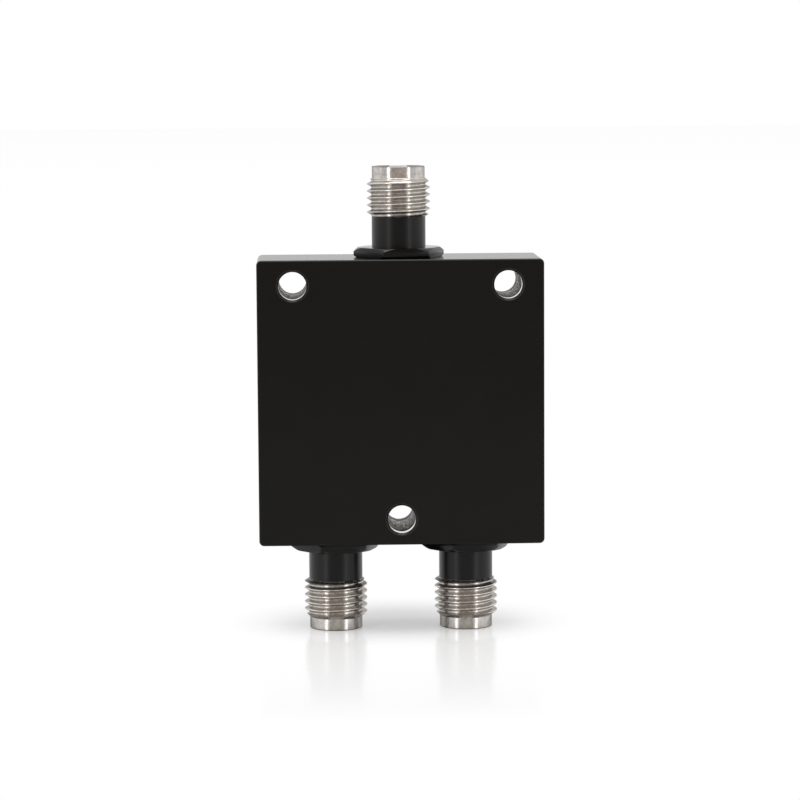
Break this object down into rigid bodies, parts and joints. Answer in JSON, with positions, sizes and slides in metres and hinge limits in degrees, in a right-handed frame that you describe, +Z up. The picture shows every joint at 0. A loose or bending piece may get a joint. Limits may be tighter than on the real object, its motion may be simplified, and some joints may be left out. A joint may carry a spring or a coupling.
{
  "type": "rf power divider",
  "caption": "Flat square black housing with one coaxial socket connector on top, two below and through holes for mounting.",
  "frame": {"origin": "middle of the footprint, on the surface that the two lower connectors stand on, below the housing's centre", "axes": "+X to the right seen from the plain front face, +Y from the front face to the back cover, +Z up along the input connector"},
  "size_m": [0.0286, 0.01, 0.0467],
  "materials": {
    "black_paint": "matte",
    "connector_steel": "satin",
    "screw_steel": "satin",
    "insulator": "satin",
    "contact_gold": "polished",
    "copper": "satin",
    "laminate": "matte",
    "resistor": "satin",
    "absorber": "matte"
  },
  "bodies": {
    "root": {"housing": "black_paint", "back_cover": "black_paint", "absorber_pad": "absorber", "circuit_board": "laminate", "divider_trace": "copper", "isolation_resistor_1": "resistor", "isolation_resistor_2": "resistor", "isolation_resistor_3": "resistor", "cover_screw_1": "screw_steel", "cover_screw_2": "screw_steel", "cover_screw_3": "screw_steel", "cover_screw_4": "screw_steel", "board_screw_1": "screw_steel", "board_screw_2": "screw_steel", "input_shell": "connector_steel", "input_insulator": "insulator", "input_contact": "contact_gold", "output_1_shell": "connector_steel", "output_1_insulator": "insulator", "output_1_contact": "contact_gold", "output_2_shell": "connector_steel", "output_2_insulator": "insulator", "output_2_contact": "contact_gold"}
  },
  "joints": []
}
